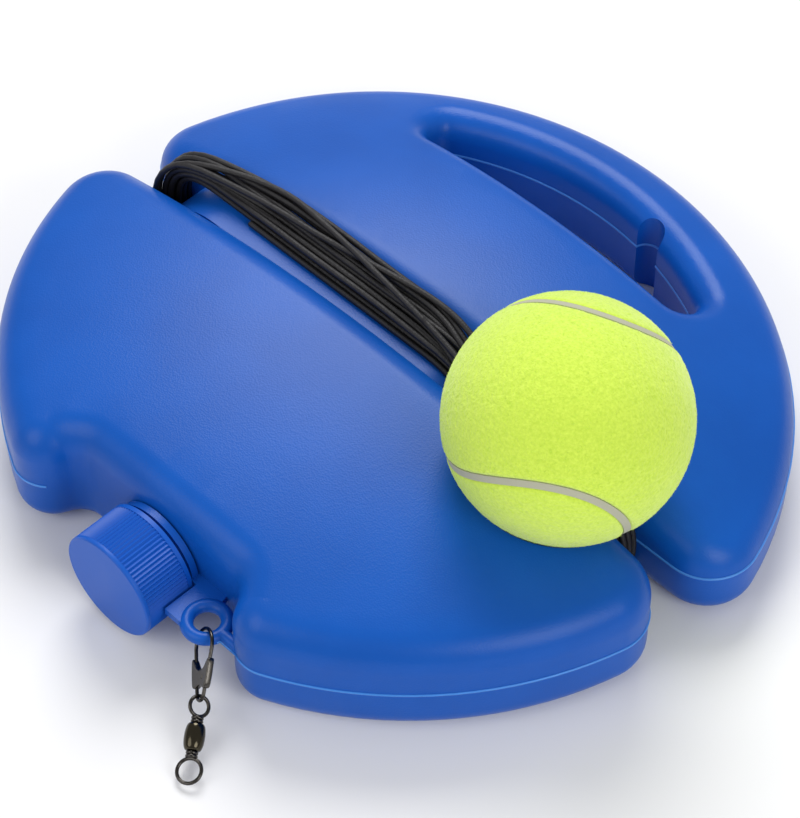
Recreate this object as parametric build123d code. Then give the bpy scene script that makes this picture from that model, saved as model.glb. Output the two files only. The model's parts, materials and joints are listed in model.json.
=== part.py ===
from build123d import *

import math
import os

# Solo tennis trainer: hollow two-lobed base, wound elastic cord, ball, snap swivel.
# Millimetres. x runs along the groove, y from the filler cap to the carrying handle, z up
# from the ground. The filler cap's axis and the groove's centre line cross above the origin.
# Everything is shifted once, on export, so that the frame's origin is the bottom centre.

# Base: plan outline
FRONT_FLAT_Y = -0.7
BACK_FLAT_Y = 10.3
FRONT_CENTRE_Y = 12.6
FRONT_RADIUS = 113.9
FRONT_VIA_X = 91.0
SCALLOP_CORNER_X = 38.5
SCALLOP_BACK = (32.0, -80.0)
BACK_CENTRE_X = 3.0
BACK_CENTRE_Y = -4.1
BACK_RADIUS = 116.0
TIP_ROUND = 14.0
SCALLOP_CORNER_ROUND = 10.5
SCALLOP_BACK_ROUND = 7.0

# Base: heights and roundings
DOME_TOP = 45.5
FRONT_DOME_RADIUS = 460.0
BACK_DOME_RADIUS = 300.0
DOME_CENTRE_Y = 2.0
TOP_ROUND = 10.0
BOTTOM_ROUND = 8.0
WALL = 2.0
TALL = 80.0

# Handle slot
SLOT_FLAT_Y = 68.0
SLOT_CENTRE_Y = -7.6
SLOT_ARC_RADIUS = 98.7
SLOT_HALF_X = 50.0
SLOT_CORNER = 5.0
SLOT_TOP_ROUND = 7.0
SLOT_BOTTOM_ROUND = 4.0
RECESS_X = 21.0
RECESS_RADIUS = 4.75
RECESS_TOP_Z = 27.0

# Waist that carries the winding
WAIST_LEFT_X = -86.0
WAIST_TOP_Z = 37.5
CREST_END_X = 22.0
DIP_FROM_X = 57.0
DIP_Z = 20.3
WAIST_RIGHT_X = 82.0
WAIST_BOTTOM_Z = 7.2
WAIST_BITE = 2.0
LEFT_NOSE_ROUND = 24.0
CREST_ROUND = 22.0
DIP_ROUND = 16.0
RIGHT_NOSE_ROUND = 6.0
NOSE_LOW_ROUND = 3.8

# Filler neck, cap and thread
NECK_Z = 17.0
NECK_ROOT_Y = -77.0
NECK_RIM_Y = -96.5
NECK_RADIUS = 12.0
NECK_BORE = 9.8
COLLAR_RADIUS = 14.6
COLLAR_Y = -82.5
COLLAR_THICK = 2.0
THREAD_PITCH = 4.0
THREAD_HEIGHT = 1.2
THREAD_ROOT = 1.6
THREAD_CREST = 0.8
THREAD_SINK = 0.3
NECK_THREAD_TURNS = 1.5
NECK_THREAD_START_Y = -85.9
CAP_THREAD_TURNS = 1.25
CAP_RADIUS = 15.7
CAP_BORE = 13.7
CAP_OPEN_Y = -83.7
CAP_FACE_Y = -99.7
CAP_TOP_THICK = 1.7
CAP_RIM = 1.3
CAP_RIBS = 84
RIB_DEPTH = 0.45
LINER_RADIUS = 12.9
LINER_THICK = 1.2
LINER_GAP = 0.1

# Lug beside the neck
LUG_X = 26.8
LUG_Y = -88.8
LUG_RING = 5.4
LUG_ROD = 1.85
LUG_FOOT_X = 41.0
LUG_SEAM = -60.0
WEB_THICK = 2.4

# Ball and its seat
BALL_X = 70.0
BALL_Z = 60.8
BALL_RADIUS = 33.0
SEAT_RADIUS = 33.4
CORE_OUTER = 29.6
CORE_INNER = 26.2
SEAM_RADIUS = 32.6
SEAM_WIDTH = 2.0
SEAM_SHAPE = 0.15
SEAM_TURN = (6.3, 41.0, -102.0)
SEAM_POINTS = 24
LEAD_ANGLE = 39.0
LEAD_HOLE = 1.3
WASHER_RADIUS = 5.0
WASHER_THICK = 1.0
KNOT_RADIUS = 2.7

# Cord
CORD_RADIUS = 0.9
WINDING_THICK = 6.5
WINDING_LOW_Y = 3.6
WINDING_HIGH_Y = 10.0
WINDING_ROUND = 1.4
BALL_GAP = 0.4
TAIL_RISE = 7.0
TAIL_RUN = 10.0
TAIL_OFFSET = 6.0
TAIL_LIFT = 0.3

# Snap and swivel
WIRE = 0.5
SNAP_AIM = (0.571, -0.666, -0.481)
SNAP_TWIST = 58.0
WIRE_GAP = 0.5
SNAP_LOOP = 4.6
SNAP_DROP = 0.15
SNAP_TAIL = 1.9
SNAP_LENGTH = 18.8
CLASP_FROM = 6.0
CLASP_TO = 11.8
CLASP_HALF_TOP = 4.5
CLASP_HALF_END = 3.3
CLASP_THICK = 1.8
CLASP_WINDOW = 3.0
CLASP_SLOT = 1.0
CLASP_CORNER = 0.6
SWIVEL_AIM = (0.567, -0.754, -0.334)
UPPER_RING = 2.7
LOWER_RING = 3.3
RING_TO_BARREL = 4.9
BARREL_RADIUS = 2.6
BARREL_END_RADIUS = 1.8
BARREL_LENGTH = 6.8
BARREL_TAPER = 1.3
BARREL_END_WALL = 0.9
CHAMBER_RADIUS = 1.9
STEM_RADIUS = 1.05
STEM_CLEARANCE = 0.07
HEAD_RADIUS = 1.6
HEAD_LENGTH = 0.9
HEAD_GAP = 0.3
WRAP_RADIUS = 1.15
LOWER_TWIST = 45.0

# Frame
SHIFT_X = -2.435
SHIFT_Y = 4.549


def unit(v):
    return Vector(*v).normalized()


def plan(edges, fillets):
    """Closed plan face from its edges, with some of its corners rounded."""
    face = make_face(Wire(edges))
    for points, radius in fillets:
        corners = [v for v in face.vertices() if near_any(v, points)]
        face = fillet(corners, radius)
    return face


def near_any(vertex, points):
    return any(math.hypot(vertex.X - x, vertex.Y - y) < 0.01 for x, y in points)


def chord(radius, offset_from_centre):
    return math.sqrt(radius**2 - offset_from_centre**2)


def on_front_arc(x):
    return (x, FRONT_CENTRE_Y - chord(FRONT_RADIUS, x))


def front_outline():
    tip = (chord(FRONT_RADIUS, FRONT_CENTRE_Y - FRONT_FLAT_Y), FRONT_FLAT_Y)
    corner = on_front_arc(SCALLOP_CORNER_X)
    back = SCALLOP_BACK
    m_tip, m_corner, m_back = [(-p[0], p[1]) for p in (tip, corner, back)]
    via = on_front_arc(FRONT_VIA_X)
    m_via = on_front_arc(-FRONT_VIA_X)
    edges = [
        Line(m_tip, tip),
        ThreePointArc(tip, via, corner),
        Line(corner, back),
        Line(back, m_back),
        Line(m_back, m_corner),
        ThreePointArc(m_corner, m_via, m_tip),
    ]
    fillets = [
        ([tip, m_tip], TIP_ROUND),
        ([corner, m_corner], SCALLOP_CORNER_ROUND),
        ([back, m_back], SCALLOP_BACK_ROUND),
    ]
    return plan(edges, fillets)


def back_outline():
    reach = chord(BACK_RADIUS, BACK_FLAT_Y - BACK_CENTRE_Y)
    right = (BACK_CENTRE_X + reach, BACK_FLAT_Y)
    left = (BACK_CENTRE_X - reach, BACK_FLAT_Y)
    top = (BACK_CENTRE_X, BACK_CENTRE_Y + BACK_RADIUS)
    edges = [Line(left, right), ThreePointArc(right, top, left)]
    return plan(edges, [([left, right], TIP_ROUND)])


def slot_outline():
    rise = SLOT_CENTRE_Y + chord(SLOT_ARC_RADIUS, SLOT_HALF_X)
    low_left = (-SLOT_HALF_X, SLOT_FLAT_Y)
    low_right = (SLOT_HALF_X, SLOT_FLAT_Y)
    high_right = (SLOT_HALF_X, rise)
    high_left = (-SLOT_HALF_X, rise)
    top = (0, SLOT_CENTRE_Y + SLOT_ARC_RADIUS)
    edges = [
        Line(low_left, low_right),
        Line(low_right, high_right),
        ThreePointArc(high_right, top, high_left),
        Line(high_left, low_left),
    ]
    return plan(edges, [([low_left, low_right, high_right, high_left], SLOT_CORNER)])


def grown(face, amount):
    """The face offset in its plane; a negative amount shrinks it."""
    if amount == 0:
        return face
    return offset(face, amount)


def dome(radius, inset):
    return Pos(0, DOME_CENTRE_Y, DOME_TOP - radius) * Sphere(radius - inset)


def lobe(outline, dome_radius, inset, slot=None):
    """One lobe, rounded all round; an inset one is the hollow inside it."""
    body = extrude(grown(outline, -inset), TALL)
    body = Pos(0, 0, inset) * body
    if slot is not None:
        body -= extrude(grown(slot, inset), TALL + inset)
    body = body & dome(dome_radius, inset)
    top = domed_face(body).outer_wire().edges()
    body = fillet(top, TOP_ROUND - inset)
    base = body.faces().sort_by(Axis.Z)[0].outer_wire().edges()
    body = fillet(base, BOTTOM_ROUND - inset)
    if slot is not None:
        body = fillet(inner_edges(domed_face(body)), SLOT_TOP_ROUND - inset)
        floor = body.faces().sort_by(Axis.Z)[0]
        body = fillet(inner_edges(floor), SLOT_BOTTOM_ROUND - inset)
    return body


def domed_face(body):
    return max(body.faces().filter_by(GeomType.SPHERE), key=lambda f: f.area)


def inner_edges(face):
    edges = []
    for wire in face.inner_wires():
        edges.extend(wire.edges())
    return edges


def waist_height(x, growth):
    """Height at x of the waist's sloping top, grown by the given amount."""
    slope = (DIP_Z - WAIST_TOP_Z) / (DIP_FROM_X - CREST_END_X)
    return WAIST_TOP_Z + slope * (x - CREST_END_X) + growth * math.hypot(1, slope)


def waist_corners():
    """Corners of the waist's section, clockwise from the upper left, with their rounds."""
    return [
        (Vector(WAIST_LEFT_X, WAIST_TOP_Z), LEFT_NOSE_ROUND, 1),
        (Vector(CREST_END_X, WAIST_TOP_Z), CREST_ROUND, 1),
        (Vector(DIP_FROM_X, DIP_Z), DIP_ROUND, -1),
        (Vector(WAIST_RIGHT_X, DIP_Z), RIGHT_NOSE_ROUND, 1),
        (Vector(WAIST_RIGHT_X, WAIST_BOTTOM_Z), NOSE_LOW_ROUND, 1),
        (Vector(WAIST_LEFT_X, WAIST_BOTTOM_Z), NOSE_LOW_ROUND, 1),
    ]


def pushed_out(before, corner, after, amount):
    """A clockwise section's corner, moved so both its sides shift out by the amount."""
    first = (corner - before).normalized()
    second = (after - corner).normalized()
    half_turn = math.radians(first.get_angle(second)) / 2
    outward = (first + second).normalized().rotate(Axis.Z, 90)
    return corner + outward * (amount / math.cos(half_turn))


def waist_profile(growth):
    """Waist cross-section in the xz plane, grown by the given amount."""
    corners = waist_corners()
    points = [c[0] for c in corners]
    count = len(points)
    moved = []
    for i in range(count):
        moved.append(pushed_out(points[i - 1], points[i], points[(i + 1) % count], growth))
    edges = [Line(moved[i], moved[(i + 1) % count]) for i in range(count)]
    fillets = []
    for point, (_, radius, bulge) in zip(moved, corners):
        fillets.append(([(point.X, point.Y)], radius + bulge * growth))
    return plan(edges, fillets)


def waist_block(growth, low_y, high_y):
    """The waist profile extruded between two y planes."""
    slab = extrude(waist_profile(growth), high_y - low_y)
    return Pos(0, high_y, 0) * Rot(90, 0, 0) * slab


def along_neck(radius, from_y, to_y):
    """Cylinder on the neck's axis between two y planes."""
    body = Cylinder(radius, abs(to_y - from_y))
    return Pos(0, (from_y + to_y) / 2, NECK_Z) * Rot(90, 0, 0) * body


def thread(radius, height, start_y, turns):
    """Helical ridge on the neck's axis; a negative height stands inwards."""
    sink = math.copysign(THREAD_SINK, height)
    path = Helix(THREAD_PITCH, THREAD_PITCH * turns, radius)
    profile = Polyline(
        (radius - sink, -THREAD_ROOT / 2),
        (radius + height, -THREAD_CREST / 2),
        (radius + height, THREAD_CREST / 2),
        (radius - sink, THREAD_ROOT / 2),
        close=True,
    )
    section = Plane.XZ * make_face(profile)
    ridge = sweep(section, path=path, is_frenet=True)
    return Pos(0, start_y, NECK_Z) * Rot(90, 0, 0) * ridge


def neck():
    body = along_neck(NECK_RADIUS, NECK_ROOT_Y, NECK_RIM_Y)
    body += along_neck(COLLAR_RADIUS, COLLAR_Y, COLLAR_Y + COLLAR_THICK)
    body += thread(NECK_RADIUS, THREAD_HEIGHT, NECK_THREAD_START_Y, NECK_THREAD_TURNS)
    return body


def lug():
    """Half-buried ring at the parting height, with its flat web back to the neck."""
    ring = Pos(LUG_X, LUG_Y, NECK_Z) * Rot(0, 0, LUG_SEAM) * Torus(LUG_RING, LUG_ROD)
    foot_from = LUG_X + LUG_RING
    foot_length = LUG_FOOT_X - foot_from
    foot = Pos(foot_from + foot_length / 2, LUG_Y, NECK_Z) * Rot(0, 90, 0)
    foot = foot * Cylinder(LUG_ROD, foot_length)
    clear_x = CAP_RADIUS + 0.8
    clear_y = COLLAR_Y - 0.6
    web_line = Polyline(
        (NECK_RADIUS - 2, SCALLOP_BACK[1] + 1),
        (NECK_RADIUS - 2, clear_y),
        (clear_x, clear_y),
        (clear_x, LUG_Y - LUG_RING),
        (LUG_X - LUG_RING / 2, LUG_Y - LUG_RING),
        (LUG_X, LUG_Y),
        (LUG_X - 2, SCALLOP_BACK[1] + 1),
        close=True,
    )
    web = Pos(0, 0, NECK_Z - WEB_THICK / 2) * extrude(make_face(web_line), WEB_THICK)
    hole = Pos(LUG_X, LUG_Y, NECK_Z) * Cylinder(LUG_RING, 3 * WEB_THICK)
    return ring + foot + (web - hole)


def base_shell():
    slot = slot_outline()
    outer = lobe(front_outline(), FRONT_DOME_RADIUS, 0)
    outer += lobe(back_outline(), BACK_DOME_RADIUS, 0, slot)
    outer += waist_block(0, FRONT_FLAT_Y - WAIST_BITE, BACK_FLAT_Y + WAIST_BITE)
    inner = lobe(front_outline(), FRONT_DOME_RADIUS, WALL)
    inner += lobe(back_outline(), BACK_DOME_RADIUS, WALL, slot)
    inner += waist_block(-WALL, FRONT_FLAT_Y - 2 * WALL, BACK_FLAT_Y + 2 * WALL)
    shell_outer = outer - handle_recess(RECESS_RADIUS, RECESS_TOP_Z) - ball_seat(SEAT_RADIUS)
    shell_outer = shell_outer + neck() + lug()
    inner = inner - handle_recess(RECESS_RADIUS + WALL, RECESS_TOP_Z)
    inner = inner - ball_seat(SEAT_RADIUS + WALL)
    bore = along_neck(NECK_BORE, NECK_ROOT_Y + 2 * WALL, NECK_RIM_Y - 1)
    return shell_outer - inner - bore


def handle_recess(radius, top_z):
    """Upright half-round pocket in the slot's outer wall, with a ball end."""
    wall_y = SLOT_CENTRE_Y + chord(SLOT_ARC_RADIUS, RECESS_X)
    stem = Pos(RECESS_X, wall_y, top_z / 2) * Cylinder(radius, top_z)
    return stem + Pos(RECESS_X, wall_y, top_z) * Sphere(radius)


def ball_seat(radius):
    return Pos(BALL_X, 0, BALL_Z) * Sphere(radius)


def cap_body():
    """Knurled screw cap, smooth at both rims."""
    count = 2 * CAP_RIBS
    tips = []
    for i in range(count):
        radius = CAP_RADIUS - (RIB_DEPTH if i % 2 else 0)
        angle = 2 * math.pi * i / count
        tips.append((radius * math.cos(angle), radius * math.sin(angle)))
    length = CAP_OPEN_Y - CAP_FACE_Y - 2 * CAP_RIM
    ribbed = extrude(make_face(Polyline(*tips, close=True)), length)
    ribbed = Pos(0, CAP_OPEN_Y - CAP_RIM, NECK_Z) * Rot(90, 0, 0) * ribbed
    face_rim = along_neck(CAP_RADIUS, CAP_FACE_Y, CAP_FACE_Y + CAP_RIM)
    face_rim = fillet(face_rim.edges().group_by(Axis.Y)[0], CAP_RIM / 2)
    open_rim = along_neck(CAP_RADIUS, CAP_OPEN_Y - CAP_RIM, CAP_OPEN_Y)
    return ribbed + face_rim + open_rim


def filler_cap():
    body = cap_body() - along_neck(CAP_BORE, CAP_FACE_Y + CAP_TOP_THICK, CAP_OPEN_Y + 1)
    start = NECK_THREAD_START_Y - THREAD_PITCH / 2
    return body + thread(CAP_BORE, -THREAD_HEIGHT, start, CAP_THREAD_TURNS)


def cap_liner():
    near = NECK_RIM_Y - LINER_GAP
    return along_neck(LINER_RADIUS, near, near - LINER_THICK)


def cord_winding():
    """The wound cord as one closed band round the waist."""
    band = waist_block(WINDING_THICK, WINDING_LOW_Y, WINDING_HIGH_Y)
    sides = band.faces().group_by(Axis.Y)
    band = fillet(sides[0].edges() + sides[-1].edges(), WINDING_ROUND)
    return band - waist_block(0, WINDING_LOW_Y - 1, WINDING_HIGH_Y + 1)


def lead_direction():
    """From the ball's centre to where its cord comes out."""
    tilt = math.radians(LEAD_ANGLE)
    return Vector(-math.cos(tilt), 0, -math.sin(tilt))


def ball_centre():
    return Vector(BALL_X, 0, BALL_Z)


def at_ball(direction, distance):
    """Plane at a distance from the ball's centre, facing out along the direction."""
    return Plane(origin=ball_centre() + direction * distance, z_dir=direction)


def lead_hole():
    return at_ball(lead_direction(), 29) * Cylinder(LEAD_HOLE, 14)


def swept_wire(path, radius):
    section = Plane(origin=path @ 0, z_dir=path % 0) * Circle(radius)
    return sweep(section, path=path)


def tail_corners():
    """Root on the winding, the bend above it, and the ball's entry."""
    entry = ball_centre() + lead_direction() * (BALL_RADIUS + BALL_GAP)
    bend_x = entry.X - TAIL_RISE
    root_x = bend_x - TAIL_RUN
    root = Vector(root_x, TAIL_OFFSET, on_winding(root_x) - CORD_RADIUS)
    bend = Vector(bend_x, TAIL_OFFSET / 2, on_winding(bend_x) + TAIL_LIFT)
    return root, bend, entry


def tail_bend_radius():
    """Widest bend that leaves a tenth of the shorter run straight."""
    root, bend, entry = tail_corners()
    first, second = bend - root, entry - bend
    turn = math.radians(first.get_angle(second))
    return 0.45 * min(first.length, second.length) / math.tan(turn / 2)


def cord_tail():
    """From the winding's top layer up to the ball: two runs and one bend."""
    path = FilletPolyline(*tail_corners(), radius=tail_bend_radius())
    tube = swept_wire(path, CORD_RADIUS)
    print("tail bend radius", round(tail_bend_radius(), 2), "mm")
    print("tail volume", round(tube.volume, 2), "section x length", round(section_volume(path), 2))
    return tube - cord_winding()


def section_volume(path):
    return math.pi * CORD_RADIUS**2 * path.length


def on_winding(x):
    return waist_height(x, WINDING_THICK) + CORD_RADIUS


def ball_knot():
    """The cord through the ball's wall, knotted behind its washer."""
    out = lead_direction()
    inside = CORE_INNER - WASHER_THICK - 2 * KNOT_RADIUS
    length = BALL_RADIUS - 0.2 - inside
    strand = at_ball(out, inside + length / 2) * Cylinder(CORD_RADIUS, length)
    knot = at_ball(out, washer_seat() - WASHER_THICK - KNOT_RADIUS) * Sphere(KNOT_RADIUS)
    return strand + knot


def washer_seat():
    """Distance from the ball's centre at which the washer's rim meets the core."""
    return math.sqrt(CORE_INNER**2 - WASHER_RADIUS**2)


def knot_washer():
    middle = washer_seat() - WASHER_THICK / 2
    plane = at_ball(lead_direction(), middle)
    return plane * (Cylinder(WASHER_RADIUS, WASHER_THICK) - Cylinder(LEAD_HOLE, 3))


def hollow_ball(inner, outer):
    shell = Sphere(outer) - Sphere(inner)
    return Pos(*ball_centre()) * shell


def core_half(upper):
    side = 1 if upper else -1
    block = Pos(BALL_X, 0, BALL_Z + side * TALL / 2) * Box(TALL, TALL, TALL)
    half = hollow_ball(CORE_INNER, CORE_OUTER) & block
    return half if upper else half - lead_hole()


def seam_curve(radius):
    """The tennis-ball curve on a sphere of the given radius."""
    a = radius * (1 - SEAM_SHAPE)
    b = radius * SEAM_SHAPE
    c = 2 * math.sqrt(a * b)
    points = []
    for i in range(SEAM_POINTS):
        t = 2 * math.pi * i / SEAM_POINTS
        x = a * math.cos(t) + b * math.cos(3 * t)
        y = a * math.sin(t) - b * math.sin(3 * t)
        points.append((x, y, c * math.sin(2 * t)))
    return Spline(*points, periodic=True)


def seam_band():
    """Upright ribbon along the seam, thick as the seam is wide."""
    inner = seam_curve(CORE_OUTER - 2)
    outer = seam_curve(BALL_RADIUS + 2)
    ribbon = Face.make_surface_from_curves(inner.edge(), outer.edge())
    band = Solid.thicken(ribbon, SEAM_WIDTH / 2) + Solid.thicken(ribbon, -SEAM_WIDTH / 2)
    return Pos(*ball_centre()) * Rot(*SEAM_TURN) * band


def felt_panels(band):
    felt = hollow_ball(CORE_OUTER, BALL_RADIUS) - band
    panels = sorted(felt.solids(), key=lambda s: s.center().Z, reverse=True)
    return [panel - lead_hole() for panel in panels]


def ball_seam(band):
    return hollow_ball(CORE_OUTER, SEAM_RADIUS) & band


def turned_plane(origin, aim, normal, degrees):
    """Plane with x along the aim and its normal turned about it."""
    angle = math.radians(degrees)
    side = aim.cross(normal)
    return Plane(origin=origin, x_dir=aim, z_dir=normal * math.cos(angle) + side * math.sin(angle))


def snap_frame():
    """Plane at the lug's rod: x along the snap, y across it, z out of its face."""
    aim = unit(SNAP_AIM)
    level = Vector(aim.X, aim.Y, 0).normalized()
    rod = Vector(LUG_X, LUG_Y, NECK_Z - SNAP_DROP) + level * LUG_RING
    upward = (Vector(0, 0, 1) - aim * aim.Z).normalized()
    return turned_plane(rod, aim, upward, SNAP_TWIST)


def snap_wire():
    """Closed wire loop, wide at the lug and narrow at the swivel."""
    start_x = -LUG_ROD - WIRE_GAP - WIRE + SNAP_LOOP
    end_x = start_x + SNAP_LENGTH - SNAP_LOOP - SNAP_TAIL
    slope = math.asin((SNAP_LOOP - SNAP_TAIL) / (end_x - start_x))
    lean, level = math.sin(slope), math.cos(slope)
    start = (start_x + SNAP_LOOP * lean, SNAP_LOOP * level)
    end = (end_x + SNAP_TAIL * lean, SNAP_TAIL * level)
    m_start = (start[0], -start[1])
    m_end = (end[0], -end[1])
    top = ThreePointArc(start, (start_x - SNAP_LOOP, 0), m_start)
    low_leg = Line(m_start, m_end)
    tail = ThreePointArc(m_end, (end_x + SNAP_TAIL, 0), end)
    high_leg = Line(end, start)
    return snap_frame() * swept_wire(Wire([top, low_leg, tail, high_leg]), WIRE)


def snap_clasp():
    """Folded sheet clasp round both legs of the wire."""
    outline = Polyline(
        (CLASP_FROM, -CLASP_HALF_TOP),
        (CLASP_TO, -CLASP_HALF_END),
        (CLASP_TO, CLASP_HALF_END),
        (CLASP_FROM, CLASP_HALF_TOP),
        close=True,
    )
    plate = extrude(make_face(outline), CLASP_THICK)
    plate = Pos(0, 0, -CLASP_THICK / 2) * plate
    plate = fillet(plate.edges().filter_by(Axis.Z), CLASP_CORNER)
    window = Box(CLASP_TO - CLASP_FROM + 2, CLASP_WINDOW, CLASP_SLOT)
    return snap_frame() * (plate - Pos((CLASP_FROM + CLASP_TO) / 2, 0, 0) * window)


def swivel_frame(twist):
    """Plane at the upper ring's centre: x along the swivel, y across the ring."""
    link_x = -LUG_ROD - WIRE_GAP - WIRE + SNAP_LENGTH - 2 * WIRE - WIRE_GAP / 2
    centre = snap_frame().from_local_coords(Vector(link_x + UPPER_RING, 0, 0))
    aim = unit(SWIVEL_AIM)
    side = snap_frame().y_dir
    side = (side - aim * side.dot(aim)).normalized()
    return turned_plane(centre, aim, side, twist)


def on_swivel(shape, x):
    """A shape modelled along z, laid along the swivel's own x axis."""
    return Pos(x, 0, 0) * Rot(0, 90, 0) * shape


def eye(ring_radius, centre_x, barrel_end_x):
    """Wire ring, two wraps at its throat, and a headed stem inside the barrel."""
    inward = math.copysign(1, barrel_end_x - centre_x)
    ring = Pos(centre_x, 0, 0) * Torus(ring_radius, WIRE)
    throat = centre_x + inward * ring_radius
    head_x = barrel_end_x + inward * (BARREL_END_WALL + HEAD_GAP + HEAD_LENGTH / 2)
    stem = on_swivel(Cylinder(STEM_RADIUS, abs(head_x - throat)), (head_x + throat) / 2)
    head = on_swivel(Cylinder(HEAD_RADIUS, HEAD_LENGTH), head_x)
    wraps = on_swivel(Torus(WRAP_RADIUS, WIRE), throat + inward * WIRE)
    wraps += on_swivel(Torus(WRAP_RADIUS, WIRE), throat + inward * 2.8 * WIRE)
    return ring + stem + head + wraps


def swivel_upper_eye():
    return swivel_frame(0) * eye(UPPER_RING, 0, RING_TO_BARREL)


def swivel_lower_eye():
    far_end = RING_TO_BARREL + BARREL_LENGTH
    ring_x = far_end + RING_TO_BARREL - UPPER_RING + LOWER_RING
    return swivel_frame(LOWER_TWIST) * eye(LOWER_RING, ring_x, far_end)


def swivel_barrel():
    ends = 2 * (BARREL_LENGTH / 2 - BARREL_TAPER)
    middle = RING_TO_BARREL + BARREL_LENGTH / 2
    body = Cylinder(BARREL_RADIUS, ends)
    for side in (-1, 1):
        cone = Cone(BARREL_RADIUS, BARREL_END_RADIUS, BARREL_TAPER)
        turn = Rot(0, 0, 0) if side > 0 else Rot(180, 0, 0)
        body += Pos(0, 0, side * (ends + BARREL_TAPER) / 2) * turn * cone
    body -= Cylinder(CHAMBER_RADIUS, BARREL_LENGTH - 2 * BARREL_END_WALL)
    body -= Cylinder(STEM_RADIUS + STEM_CLEARANCE, BARREL_LENGTH + 2)
    return swivel_frame(0) * on_swivel(body, middle)


def export(name, shape):
    solid = Pos(SHIFT_X, SHIFT_Y, 0) * shape
    solid.label = name
    export_step(solid, f"parts/{name}.step")


def main():
    os.makedirs("parts", exist_ok=True)
    export("base_shell", base_shell())
    export("filler_cap", filler_cap())
    export("cap_liner", cap_liner())
    export("cord_winding", cord_winding())
    export("cord_tail", cord_tail())
    export("ball_knot", ball_knot())
    export("knot_washer", knot_washer())
    export("core_half_a", core_half(True))
    export("core_half_b", core_half(False))
    band = seam_band()
    panels = felt_panels(band)
    export("felt_panel_a", panels[0])
    export("felt_panel_b", panels[1])
    export("ball_seam", ball_seam(band))
    export("snap_wire", snap_wire())
    export("snap_clasp", snap_clasp())
    export("swivel_upper_eye", swivel_upper_eye())
    export("swivel_barrel", swivel_barrel())
    export("swivel_lower_eye", swivel_lower_eye())


main()
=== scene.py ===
import json
import math
import random

import bmesh
import bpy
import numpy as np
from mathutils import Matrix, Vector
from mathutils.kdtree import KDTree


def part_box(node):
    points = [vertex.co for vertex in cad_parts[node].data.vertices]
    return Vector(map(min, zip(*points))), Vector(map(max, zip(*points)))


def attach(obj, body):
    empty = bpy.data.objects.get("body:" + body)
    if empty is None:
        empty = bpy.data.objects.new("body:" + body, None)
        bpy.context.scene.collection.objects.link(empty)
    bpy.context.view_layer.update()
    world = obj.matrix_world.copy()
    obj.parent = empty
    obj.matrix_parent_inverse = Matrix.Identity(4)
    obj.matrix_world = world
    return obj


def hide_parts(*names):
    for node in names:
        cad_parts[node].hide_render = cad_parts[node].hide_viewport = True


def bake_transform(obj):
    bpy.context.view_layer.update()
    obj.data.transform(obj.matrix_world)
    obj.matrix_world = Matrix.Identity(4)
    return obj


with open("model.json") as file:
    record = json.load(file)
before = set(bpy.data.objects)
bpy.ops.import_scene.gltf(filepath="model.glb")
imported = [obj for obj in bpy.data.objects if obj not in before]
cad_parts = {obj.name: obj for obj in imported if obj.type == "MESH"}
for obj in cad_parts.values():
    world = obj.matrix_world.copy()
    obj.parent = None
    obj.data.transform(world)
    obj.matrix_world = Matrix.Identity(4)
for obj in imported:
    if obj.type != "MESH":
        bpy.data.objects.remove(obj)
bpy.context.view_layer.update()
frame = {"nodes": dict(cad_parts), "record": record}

# Solo tennis trainer: hollow two-lobed base, wound elastic cord, ball and snap swivel.
# Lengths below are millimetres in the row frame unless a name says otherwise.

MM = 0.001
RANDOM = random.Random(7)
NOISE = np.random.default_rng(7)

# Route of the cord, as in the part's source, with the part's own shift along x and y
SHIFT_X = -2.435
SHIFT_Y = 4.549
WAIST_TOP_Z = 37.5
CREST_END_X = 22.0
DIP_FROM_X = 57.0
DIP_Z = 20.3
WAIST_LEFT_X = -86.0
WAIST_RIGHT_X = 82.0
WAIST_BOTTOM_Z = 7.2
BALL_CENTRE = Vector((70.0 + SHIFT_X, SHIFT_Y, 60.8))
BALL_RADIUS = 33.0
CORD_RADIUS = 0.9
LEAD_ANGLE = 39.0
TAIL_END = 33.4
TAIL_OVER = (27.0, 6.0, 43.4)
TAIL_BEND = (37.0, 3.0, 39.0)
PILE_MIDDLE_Y = 8.8
PILE_SPREAD = (0.94, 1.0, 0.88, 0.98, 1.0)
WANDER = 0.40

# Camera: a long lens, as the photograph's small change of scale asks
AZIMUTH = 44.91
ELEVATION = 50.0
LENS = 132.0
CAMERA_AT = (386.91 + SHIFT_X, -378.87 + SHIFT_Y, 651.15)

# Seam of the ball
SEAM_SHAPE = 0.15
SEAM_TURN = (6.3, 41.0, -102.0)
SEAM_COUNT = 1500

# Felt: its floor under the seam, how far it stands up, and how wide its edge is
FELT_FLOOR = 31.5
FELT_RISE = 1.32
FELT_EDGE_FROM = 0.85
FELT_EDGE_WIDTH = 1.6
SEAM_GAP = 0.7
NAP_CLEAR = 1.9
NAP_ROOT_DEPTH = 0.28

# Parting line, and the swivel's barrel
PARTING_Z = 17.0
FRONT_LOBE_Y = -0.045
BACK_LOBE_Y = 0.045
PARTING_RADIUS = 0.38
BARREL_HALF = 3.7
BARREL_RADIUS = 2.75
BARREL_END_RADIUS = 1.25
BARREL_FULLNESS = 0.62
BARREL_STEPS = 28

# The snap's own axes, from the lug's rod: along it, and across its two legs
SNAP_ORIGIN = (30.315 + SHIFT_X, -92.900 + SHIFT_Y, 16.85)
SNAP_ALONG = (0.570727, -0.665681, -0.48077)
SNAP_ACROSS = (0.667678, 0.035388, 0.743608)
CLASP_HALF_THICK = 0.5
CLASP_BEVEL = 0.4


# Materials

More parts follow.
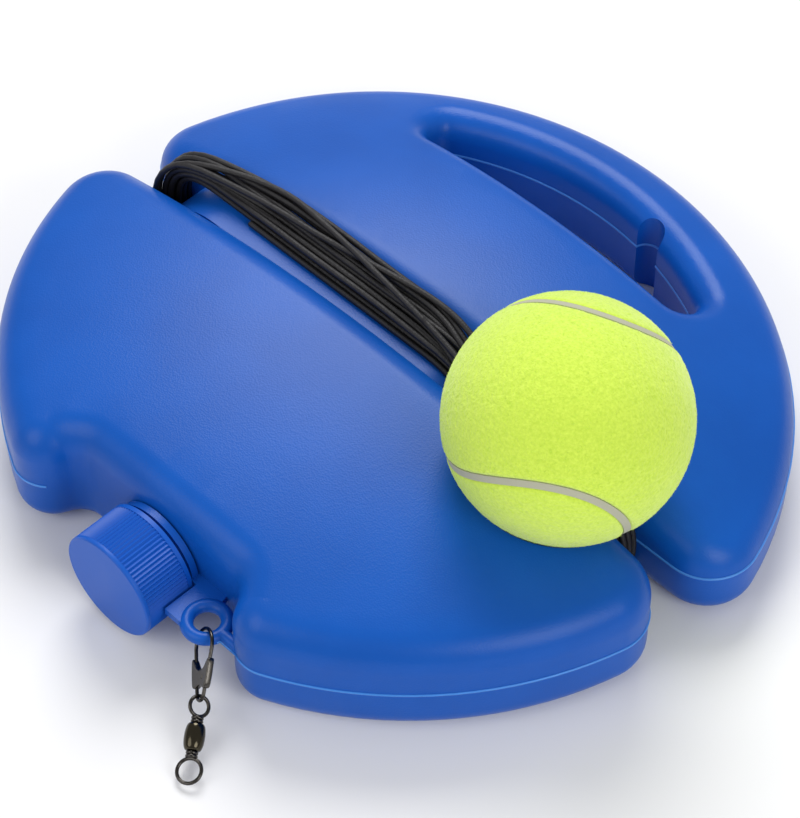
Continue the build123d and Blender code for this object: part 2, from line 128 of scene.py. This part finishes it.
def material(name, base, roughness, metallic=0.0, **sockets):
    mat = bpy.data.materials.new(name)
    mat.use_nodes = True
    shader = mat.node_tree.nodes["Principled BSDF"]
    shader.inputs["Base Color"].default_value = (*base, 1)
    shader.inputs["Roughness"].default_value = roughness
    shader.inputs["Metallic"].default_value = metallic
    for key, value in sockets.items():
        shader.inputs[key.replace("_", " ")].default_value = value
    return mat


def add(mat, kind, **settings):
    node = mat.node_tree.nodes.new(kind)
    for key, value in settings.items():
        if key in node.inputs:
            node.inputs[key].default_value = value
        else:
            setattr(node, key, value)
    return node


def join(mat, source, output, target, socket):
    mat.node_tree.links.new(source.outputs[output], target.inputs[socket])


def grain(mat, scale, strength, distance_mm, kind="ShaderNodeTexNoise", output=0):
    """Fine relief over the whole surface."""
    place = add(mat, "ShaderNodeTexCoord")
    texture = add(mat, kind, Scale=scale)
    if kind == "ShaderNodeTexNoise":
        texture.inputs["Detail"].default_value = 3.0
    bump = add(mat, "ShaderNodeBump", Strength=strength, Distance=distance_mm * MM)
    join(mat, place, "Object", texture, "Vector")
    join(mat, texture, output, bump, "Height")
    join(mat, bump, "Normal", mat.node_tree.nodes["Principled BSDF"], "Normal")
    return bump


def mottle(mat, scale, dark, light, low=0.35, high=0.65, detail=4.0):
    """Base colour that drifts between two tones."""
    place = add(mat, "ShaderNodeTexCoord")
    noise = add(mat, "ShaderNodeTexNoise", Scale=scale, Detail=detail)
    ramp = add(mat, "ShaderNodeValToRGB")
    ramp.color_ramp.elements[0].position = low
    ramp.color_ramp.elements[0].color = (*dark, 1)
    ramp.color_ramp.elements[1].position = high
    ramp.color_ramp.elements[1].color = (*light, 1)
    join(mat, place, "Object", noise, "Vector")
    join(mat, noise, "Fac", ramp, "Fac")
    join(mat, ramp, "Color", mat.node_tree.nodes["Principled BSDF"], "Base Color")


def shell_material():
    mat = material("shell_blue", (0.0056, 0.100, 0.50), 0.34, Specular_IOR_Level=0.22)
    mottle(mat, 30, (0.0030, 0.080, 0.41), (0.0038, 0.092, 0.46))
    grain(mat, 1900, 0.26, 0.10, "ShaderNodeTexVoronoi", "Distance")
    return mat


# The parting ridge's base colour is a lighter blue than the shell's: a painted highlight along the
# ridge.
def parting_highlight_material():
    mat = material("parting_highlight_blue", (0.05, 0.24, 0.70), 0.28, Specular_IOR_Level=0.5)
    grain(mat, 900, 0.15, 0.05)
    return mat


def make_materials():
    mats = {"shell_plastic": shell_material(), "parting_line": parting_highlight_material()}
    mats["cap_plastic"] = material("cap_blue", (0.004, 0.092, 0.49), 0.40, Specular_IOR_Level=0.26)
    grain(mats["cap_plastic"], 700, 0.12, 0.06)
    mats["liner_foam"] = material("liner_white", (0.75, 0.75, 0.72), 0.8)
    grain(mats["liner_foam"], 3000, 0.3, 0.05)
    mats["cord_sheath"] = material("cord_black", (0.009, 0.008, 0.010), 0.55)
    grain(mats["cord_sheath"], 2400, 0.7, 0.12, "ShaderNodeTexVoronoi", "Distance")
    mats["washer_plastic"] = material("washer_white", (0.8, 0.8, 0.78), 0.5)
    grain(mats["washer_plastic"], 900, 0.1, 0.05)
    mats["core_rubber"] = material("core_rubber", (0.12, 0.11, 0.10), 0.7)
    grain(mats["core_rubber"], 900, 0.2, 0.08)
    felt = material("felt_yellow", (0.60, 0.82, 0.06), 0.95, Sheen_Weight=0.35, Sheen_Roughness=0.6)
    mottle(felt, 1300, (0.55, 0.77, 0.045), (0.68, 0.89, 0.08), 0.3, 0.7, 8.0)
    grain(felt, 2000, 0.7, 0.30)
    mats["felt"] = felt
    mats["seam_rubber"] = material("seam_beige", (0.44, 0.44, 0.33), 0.8)
    grain(mats["seam_rubber"], 1200, 0.3, 0.08)
    mats["nickel_wire"] = material("black_nickel", (0.065, 0.060, 0.055), 0.20, 1.0)
    grain(mats["nickel_wire"], 500, 0.08, 0.04)
    mats["nickel_sheet"] = material("nickel_sheet", (0.095, 0.088, 0.080), 0.24, 1.0)
    grain(mats["nickel_sheet"], 700, 0.1, 0.04)
    mats["dark_brass"] = material("dark_brass", (0.060, 0.052, 0.036), 0.14, 1.0)
    grain(mats["dark_brass"], 600, 0.1, 0.04)
    return mats


def dress_nodes(mats):
    """Real finishes on the CAD nodes, with soft shading across their smooth joins."""
    for part in frame["record"]["subparts"]:
        obj = frame["nodes"][part["node"]]
        obj.data.materials.clear()
        obj.data.materials.append(mats[part["material_slot"]])
        for polygon in obj.data.polygons:
            polygon.material_index = 0
            polygon.use_smooth = True
        weld = obj.modifiers.new("weld", "WELD")
        weld.merge_threshold = 0.000002
        split = obj.modifiers.new("split", "EDGE_SPLIT")
        split.split_angle = math.radians(32)


# Helpers

def new_mesh(name, points, faces, mat, smooth=True):
    mesh = bpy.data.meshes.new(name)
    mesh.from_pydata([tuple(p) for p in points], [], faces)
    mesh.materials.append(mat)
    for polygon in mesh.polygons:
        polygon.use_smooth = smooth
    obj = bpy.data.objects.new(name, mesh)
    bpy.context.scene.collection.objects.link(obj)
    return obj


def nurbs(name, points_mm):
    """One open NURBS spline through space, its points in millimetres."""
    curve = bpy.data.curves.new(name, "CURVE")
    curve.dimensions = "3D"
    spline = curve.splines.new("NURBS")
    spline.points.add(len(points_mm) - 1)
    for point, place in zip(spline.points, points_mm):
        point.co = (*(Vector(place) * MM), 1)
    spline.order_u = 3
    spline.use_endpoint_u = True
    curve.resolution_u = 8
    obj = bpy.data.objects.new(name, curve)
    bpy.context.scene.collection.objects.link(obj)
    return obj


def centreline(obj):
    """Points that a bare curve runs through, in metres."""
    bpy.context.view_layer.update()
    line = bpy.data.meshes.new_from_object(obj)
    points = [v.co.copy() for v in line.vertices]
    bpy.data.meshes.remove(line)
    return points


def tube(name, points, radius, mat, sides=12):
    """Closed tube round a centreline, in metres."""
    verts, faces = [], []
    side = Vector((0, 1, 0))
    for i, point in enumerate(points):
        ahead = points[min(i + 1, len(points) - 1)] - points[max(i - 1, 0)]
        ahead.normalize()
        side = (side - ahead * side.dot(ahead)).normalized()
        up = ahead.cross(side)
        for k in range(sides):
            turn = 2 * math.pi * k / sides
            verts.append(point + (side * math.cos(turn) + up * math.sin(turn)) * radius)
    for i in range(len(points) - 1):
        for k in range(sides):
            a, b = i * sides + k, i * sides + (k + 1) % sides
            faces.append((a, b, b + sides, a + sides))
    faces.append(tuple(reversed(range(sides))))
    faces.append(tuple(range(len(verts) - sides, len(verts))))
    return new_mesh(name, verts, faces, mat)


def lathe(name, outline, centre, axis, mat, sides=64):
    """Solid of revolution: (along, radius) pairs in metres, turned about an axis."""
    frame_turn = axis.to_track_quat("Z", "Y").to_matrix()
    verts, faces = [], []
    for along, radius in outline:
        for k in range(sides):
            turn = 2 * math.pi * k / sides
            local = Vector((radius * math.cos(turn), radius * math.sin(turn), along))
            verts.append(centre + frame_turn @ local)
    for i in range(len(outline) - 1):
        for k in range(sides):
            a, b = i * sides + k, i * sides + (k + 1) % sides
            faces.append((a, b, b + sides, a + sides))
    faces.append(tuple(reversed(range(sides))))
    faces.append(tuple(range(len(verts) - sides, len(verts))))
    return new_mesh(name, verts, faces, mat)


# Cord

def waist_stations():
    """One turn's stations: x, z on the waist, the way out from it, and which run it is on."""
    lean = math.tan(math.atan2(WAIST_TOP_Z - DIP_Z, DIP_FROM_X - CREST_END_X) / 2)
    slant_x = (CREST_END_X + DIP_FROM_X) / 2
    slant_z = (WAIST_TOP_Z + DIP_Z) / 2
    return [
        (-54.0, WAIST_TOP_Z, 0, 1, "crest"),
        (-30.0, WAIST_TOP_Z, 0, 1, "crest"),
        (-8.0, WAIST_TOP_Z, 0, 1, "crest"),
        (10.0, WAIST_TOP_Z, 0, 1, "crest"),
        (CREST_END_X, WAIST_TOP_Z, lean, 1, "edge"),
        (slant_x, slant_z, 2 * lean, 1, "low"),
        (DIP_FROM_X, DIP_Z, lean, 1, "low"),
        (72.0, DIP_Z, 0, 1, "low"),
        (WAIST_RIGHT_X, DIP_Z, 1, 1, "low"),
        (WAIST_RIGHT_X, WAIST_BOTTOM_Z, 1, -1, "low"),
        (66.0, WAIST_BOTTOM_Z, 0, -1, "low"),
        (36.0, WAIST_BOTTOM_Z, 0, -1, "low"),
        (6.0, WAIST_BOTTOM_Z, 0, -1, "lane change"),
        (-24.0, WAIST_BOTTOM_Z, 0, -1, "next"),
        (-56.0, WAIST_BOTTOM_Z, 0, -1, "next"),
        (WAIST_LEFT_X, WAIST_BOTTOM_Z, -1, -1, "next"),
        (WAIST_LEFT_X, WAIST_TOP_Z, -1, 1, "next"),
    ]


def layer(first_y, step_y, count, height):
    return [(first_y + step_y * i, height) for i in range(count)]


def low_lanes():
    """Where each turn lies between the lobes: (y, height off the waist)."""
    lanes = layer(3.6, 1.9, 4, 0.95) + layer(9.35, -1.85, 4, 2.55)
    lanes += layer(3.0, 1.9, 4, 4.15) + layer(9.35, -1.85, 3, 5.7)
    return lanes + [(2.0, 5.6), (0.3, 5.4)]


def crest_lanes():
    """The same turns on the crest, where they pile up on the handle lobe's slope."""
    lanes = layer(3.8, 1.85, 3, 0.95) + layer(10.4, -1.85, 3, 2.6)
    lanes += layer(5.1, 2.1, 4, 4.25) + layer(13.1, -1.85, 3, 5.9)
    return lanes + layer(15.0, -1.9, 2, 7.5)


def crossing_lanes():
    """The last two turns cross on top of the pile, and the first of them peels off by the ball."""
    rising = [(8.2, 7.6), (10.0, 7.7), (12.6, 9.0), (14.8, 9.2), (13.4, 8.2), (9.3, 7.2), (9.3, 6.5)]
    falling = [(14.6, 9.2), (12.8, 9.3), (10.0, 9.1), (8.0, 7.7)]
    return [rising, falling]


def crest_place(lane, index, wander):
    """A crest lane that draws in towards the pile's middle half way along."""
    y, height = lane
    if height > 4:
        y = PILE_MIDDLE_Y + (y - PILE_MIDDLE_Y) * PILE_SPREAD[index]
    return y + (wander if height > 2 else 0), height


def halfway(first, second):
    return (first[0] + second[0]) / 2, (first[1] + second[1]) / 2


def wound_points():
    crest, low, crossing = crest_lanes(), low_lanes(), crossing_lanes()
    points = []
    turns = len(low)
    for turn in range(turns):
        following = low[min(turn + 1, turns - 1)]
        crosser = crossing[turn - len(crest)] if turn >= len(crest) else []
        wander = 0.0
        for index, (x, z, out_x, out_z, run) in enumerate(waist_stations()):
            if index < len(crosser):
                y, height = crosser[index]
            elif run == "next":
                y, height = following
            elif run == "lane change":
                y, height = halfway(low[turn], following)
            elif run == "low":
                y, height = low[turn]
            else:
                wander = 0.6 * wander + RANDOM.uniform(-WANDER, WANDER)
                y, height = crest_place(crest[turn], index, wander)
                if run == "edge":
                    y, height = halfway((y, height), low[turn])
            points.append((x + SHIFT_X + out_x * height, y + SHIFT_Y, z + out_z * height))
            if turn == turns - 1 and index == len(crosser) - 1:
                return points
    return points


def wind_cord(mat):
    points = wound_points()
    cord = nurbs("wound_cord", points)
    line = centreline(cord)
    length = sum((b - a).length for a, b in zip(line, line[1:]))
    print("wound cord length", round(length, 4), "m in", len(points), "points")
    cord.data.bevel_depth = CORD_RADIUS * MM
    cord.data.bevel_resolution = 3
    cord.data.use_fill_caps = True
    cord.data.materials.append(mat)
    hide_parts("cord_winding")
    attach(cord, "base")
    return points[-1]


def tail_points(start):
    """From the wound cord's last crossing up to where the ball's wall takes it in."""
    tilt = math.radians(LEAD_ANGLE)
    lead = Vector((-math.cos(tilt), 0, -math.sin(tilt)))
    entry = BALL_CENTRE + lead * TAIL_END
    shift = Vector((SHIFT_X, SHIFT_Y, 0))
    return [Vector(start), Vector(TAIL_OVER) + shift, Vector(TAIL_BEND) + shift,
            entry + lead * 2.5, entry - lead * 2]


def tail_cord(mat, start):
    route = nurbs("tail_route", tail_points(start))
    line = centreline(route)
    bpy.data.objects.remove(route)
    piece = tube("tail_cord", line, CORD_RADIUS * MM, mat)
    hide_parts("cord_tail")
    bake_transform(piece)


# Ball

def turn_matrix(degrees):
    x, y, z = (math.radians(v) for v in degrees)
    return Matrix.Rotation(x, 3, "X") @ Matrix.Rotation(y, 3, "Y") @ Matrix.Rotation(z, 3, "Z")


def seam_directions():
    """Unit vectors along the tennis-ball curve."""
    a, b = 1 - SEAM_SHAPE, SEAM_SHAPE
    turn = turn_matrix(SEAM_TURN)
    out = []
    for i in range(SEAM_COUNT):
        t = 2 * math.pi * i / SEAM_COUNT
        x = a * math.cos(t) + b * math.cos(3 * t)
        y = a * math.sin(t) - b * math.sin(3 * t)
        out.append((turn @ Vector((x, y, 2 * math.sqrt(a * b) * math.sin(2 * t)))).normalized())
    return out


def ball_sphere():
    mesh = bmesh.new()
    bmesh.ops.create_icosphere(mesh, subdivisions=8, radius=1.0)
    return mesh


def lumps(directions, scale, count):
    """Soft random relief on the sphere, about -1 to 1."""
    total = np.zeros(len(directions))
    for _ in range(count):
        wave = NOISE.normal(size=3) * scale
        total += np.sin(directions @ wave + NOISE.uniform(0, 2 * math.pi))
    return total / math.sqrt(count)


def felt_pieces(mat):
    seam = seam_directions()
    tree = KDTree(len(seam))
    for i, point in enumerate(seam):
        tree.insert(point, i)
    tree.balance()
    ball = ball_sphere()
    ball.verts.ensure_lookup_table()
    directions = np.array([v.co.normalized() for v in ball.verts])
    gap = np.array([tree.find(Vector(d))[2] for d in directions]) * BALL_RADIUS
    rise = np.clip((gap - FELT_EDGE_FROM) / FELT_EDGE_WIDTH, 0, 1)
    rise = np.sqrt(rise * (2 - rise))
    relief = 0.04 * lumps(directions, 60, 24) + 0.045 * lumps(directions, 190, 40)
    radius = FELT_FLOOR + rise * (FELT_RISE + relief)
    for vert, direction, r in zip(ball.verts, directions, radius):
        vert.co = (BALL_CENTRE + Vector(direction) * float(r)) * MM
    under = [f for f in ball.faces if min(gap[v.index] for v in f.verts) < SEAM_GAP]
    bmesh.ops.delete(ball, geom=under, context="FACES")
    panels = islands(ball)
    names = ("felt_high", "felt_low")
    for name, keep in zip(names, panels):
        part = ball.copy()
        part.verts.ensure_lookup_table()
        drop = [part.verts[i] for i in range(len(part.verts)) if i not in keep]
        bmesh.ops.delete(part, geom=drop, context="VERTS")
        mesh = bpy.data.meshes.new(name)
        part.to_mesh(mesh)
        part.free()
        mesh.materials.append(mat)
        for polygon in mesh.polygons:
            polygon.use_smooth = True
        obj = bpy.data.objects.new(name, mesh)
        bpy.context.scene.collection.objects.link(obj)
        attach(obj, "ball")
    ball.free()
    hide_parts("felt_panel_a")
    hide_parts("felt_panel_b")
    return tree


def islands(mesh):
    """The two largest connected sets of vertex numbers, higher one first."""
    mesh.verts.ensure_lookup_table()
    seen, sets = set(), []
    for vert in mesh.verts:
        if vert.index in seen or not vert.link_faces:
            continue
        stack, group = [vert], set()
        seen.add(vert.index)
        while stack:
            here = stack.pop()
            group.add(here.index)
            for edge in here.link_edges:
                other = edge.other_vert(here)
                if other.index not in seen and edge.link_faces:
                    seen.add(other.index)
                    stack.append(other)
        sets.append(group)
    sets.sort(key=len, reverse=True)
    height = {id(g): sum(mesh.verts[i].co.z for i in g) / len(g) for g in sets[:2]}
    return sorted(sets[:2], key=lambda g: -height[id(g)])


def nap(mat, tree, count=16000):
    """Short loose fibres standing off the felt, each a thin closed spike."""
    verts, faces = [], []
    while len(faces) < 4 * count:
        out = Vector(NOISE.normal(size=3)).normalized()
        if tree.find(out)[2] * BALL_RADIUS < NAP_CLEAR:
            continue
        along = out.orthogonal().normalized()
        along.rotate(Matrix.Rotation(NOISE.uniform(0, 2 * math.pi), 3, out))
        side = out.cross(along)
        length, thick = NOISE.uniform(0.5, 1.3), NOISE.uniform(0.03, 0.055)
        root = BALL_CENTRE + out * (BALL_RADIUS - NAP_ROOT_DEPTH)
        tip = root + along * length + out * NOISE.uniform(0.10, 0.42)
        base = len(verts)
        verts += [(root + side * thick) * MM, (root - side * thick) * MM,
                  (root + out * 1.6 * thick) * MM, tip * MM]
        faces += [(base, base + 2, base + 1), (base, base + 1, base + 3),
                  (base + 1, base + 2, base + 3), (base + 2, base, base + 3)]
    piece = new_mesh("felt_nap", verts, faces, mat, smooth=False)
    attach(piece, "ball")


# Parting line and swivel barrel

def loops_at(obj, height_mm):
    """Where a node's surface meets a level plane: closed loops of (place, normal), in metres."""
    mesh = bmesh.new()
    mesh.from_mesh(obj.data)
    bmesh.ops.remove_doubles(mesh, verts=mesh.verts, dist=0.000002)
    cut = bmesh.ops.bisect_plane(mesh, geom=mesh.verts[:] + mesh.edges[:] + mesh.faces[:],
                                 plane_co=(0, 0, height_mm * MM), plane_no=(0, 0, 1))
    mesh.normal_update()
    edges = [e for e in cut["geom_cut"] if isinstance(e, bmesh.types.BMEdge)]
    links = {}
    for edge in edges:
        a, b = edge.verts
        links.setdefault(a, []).append(b)
        links.setdefault(b, []).append(a)
    loops, used = [], set()
    for start in links:
        if start in used:
            continue
        loop, here, last = [], start, None
        while here is not None and here not in used:
            used.add(here)
            loop.append((here.co.copy(), here.normal.copy()))
            ahead = [v for v in links[here] if v is not last and v not in used]
            last, here = here, (ahead[0] if ahead else None)
        loops.append(loop)
    mesh.free()
    return loops


def loop_width(loop):
    across = [place.x for place, normal in loop]
    return max(across) - min(across)


def on_outside(place, normal):
    """The open neck joins the outer wall's loop to the inner one, and only the outer wall shows."""
    in_scallop = place.y < -0.0735 and abs(place.x - SHIFT_X * MM) < 0.0335
    in_notch = 0.0040 < place.y < 0.0148 and abs(place.x) < 0.112
    lobe_y = FRONT_LOBE_Y if place.y < SHIFT_Y * MM else BACK_LOBE_Y
    faces_out = normal.x * place.x + normal.y * (place.y - lobe_y) > 0
    return faces_out and not in_scallop and not in_notch


def parting_runs():
    loops = loops_at(frame["nodes"]["base_shell"], PARTING_Z)
    outer = max(loops, key=loop_width)
    behind = [g for g in loops if min(place.y for place, normal in g) > BACK_LOBE_Y]
    slot = min(behind, key=loop_width)
    runs, run = [], []
    for place, normal in outer + outer[:1]:
        if on_outside(place, normal):
            run.append(place)
        else:
            runs.append(run)
            run = []
    runs.append(run)
    runs.append([place for place, normal in slot + slot[:1]])
    return [r for r in runs if len(r) > 2]


def parting_line(mat):
    curve = bpy.data.curves.new("parting_line", "CURVE")
    curve.dimensions = "3D"
    for run in parting_runs():
        spline = curve.splines.new("POLY")
        spline.points.add(len(run) - 1)
        for point, place in zip(spline.points, run):
            point.co = (*place, 1)
    curve.bevel_depth = PARTING_RADIUS * MM
    curve.bevel_resolution = 2
    curve.use_fill_caps = True
    curve.materials.append(mat)
    piece = bpy.data.objects.new("parting_line", curve)
    bpy.context.scene.collection.objects.link(piece)
    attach(piece, "base")


def joint(name):
    for entry in frame["record"]["behaviour"]["joints"]:
        if entry["name"] == name:
            return entry
    raise ValueError(name)


def barrel(mat):
    """The swivel's barrel, swelled in the middle and rolled in at both ends."""
    spin = joint("barrel_spin")
    axis = Vector(spin["axis"]).normalized()
    low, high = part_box("swivel_barrel")
    centre = (Vector(low) + Vector(high)) / 2
    outline = []
    for i in range(BARREL_STEPS + 1):
        t = math.pi * i / BARREL_STEPS
        along = -BARREL_HALF * math.cos(t)
        swell = math.sin(t) ** BARREL_FULLNESS
        radius = BARREL_END_RADIUS + (BARREL_RADIUS - BARREL_END_RADIUS) * swell
        outline.append((along * MM, radius * MM))
    piece = lathe("barrel_shell", outline, centre, axis, mat)
    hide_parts("swivel_barrel")
    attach(piece, "barrel")


def clasp(mat):
    """Folded sheet clasp: a U-shaped upper edge between the legs, and a small window."""
    outline = [(5.0, -4.75), (6.4, -3.4), (7.9, -2.2), (8.6, 0.0), (7.9, 2.2), (6.4, 3.4),
               (5.0, 4.75), (8.6, 4.25), (12.3, 3.45), (12.6, 2.6), (11.8, 1.4), (11.5, 0.0),
               (11.8, -1.4), (12.6, -2.6), (12.3, -3.45), (8.6, -4.25)]
    window = [(9.4, 1.3), (10.7, 1.2), (10.7, 2.1), (9.4, 2.2)]
    curve = bpy.data.curves.new("folded_clasp", "CURVE")
    curve.dimensions = "2D"
    curve.fill_mode = "BOTH"
    for points in (outline, window):
        spline = curve.splines.new("NURBS")
        spline.points.add(len(points) - 1)
        for point, (along, across) in zip(spline.points, points):
            point.co = (along * MM, across * MM, 0, 1)
        spline.order_u = 3
        spline.use_cyclic_u = True
    curve.extrude = CLASP_HALF_THICK * MM
    curve.bevel_depth = CLASP_BEVEL * MM
    curve.bevel_resolution = 3
    curve.materials.append(mat)
    piece = bpy.data.objects.new("folded_clasp", curve)
    along, across = Vector(SNAP_ALONG), Vector(SNAP_ACROSS)
    turn = Matrix((along, across, along.cross(across))).transposed().to_4x4()
    piece.matrix_world = Matrix.Translation(Vector(SNAP_ORIGIN) * MM) @ turn
    bpy.context.scene.collection.objects.link(piece)
    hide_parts("snap_clasp")
    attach(piece, "snap")


# Surroundings

def floor():
    size = 4.0
    verts = [(-size, -size, 0), (size, -size, 0), (size, size, 0), (-size, size, 0)]
    mat = material("floor_white", (0.86, 0.86, 0.87), 0.9)
    piece = new_mesh("floor", verts, [(0, 1, 2, 3)], mat)
    piece.location.z = -0.0003


def area_light(name, place, target, size, power, color=(1, 1, 1)):
    data = bpy.data.lights.new(name, "AREA")
    data.shape = "DISK"
    data.size = size
    data.energy = power
    data.color = color
    lamp = bpy.data.objects.new(name, data)
    lamp.location = place
    lamp.rotation_euler = (Vector(target) - Vector(place)).to_track_quat("-Z", "Y").to_euler()
    bpy.context.scene.collection.objects.link(lamp)


def studio():
    world = bpy.data.worlds.new("studio")
    world.use_nodes = True
    world.node_tree.nodes["Background"].inputs["Color"].default_value = (1, 1, 1, 1)
    world.node_tree.nodes["Background"].inputs["Strength"].default_value = 0.40
    bpy.context.scene.world = world
    area_light("key", (-0.55, 0.55, 0.95), (0, 0, 0.02), 0.75, 11)
    area_light("side", (0.85, -0.15, 0.55), (0, 0, 0.02), 0.6, 3.6)
    area_light("front", (-0.2, -0.9, 0.7), (0, 0, 0.02), 0.8, 3.6)
    bpy.context.scene.view_settings.view_transform = "Standard"


def camera():
    data = bpy.data.cameras.new("camera")
    data.lens = LENS
    data.sensor_fit = "AUTO"
    data.sensor_width = 36.0
    data.clip_start = 0.01
    obj = bpy.data.objects.new("camera", data)
    obj.location = Vector(CAMERA_AT) * MM
    obj.rotation_euler = (math.radians(90 - ELEVATION), 0, math.radians(AZIMUTH))
    bpy.context.scene.collection.objects.link(obj)
    bpy.context.scene.camera = obj


def build():
    camera()
    floor()
    studio()
    mats = make_materials()
    dress_nodes(mats)
    last = wind_cord(mats["cord_sheath"])
    tail_cord(mats["cord_sheath"], last)
    seam = felt_pieces(mats["felt"])
    nap(mats["felt"], seam)
    parting_line(mats["parting_line"])
    barrel(mats["dark_brass"])
    clasp(mats["nickel_sheet"])


build()
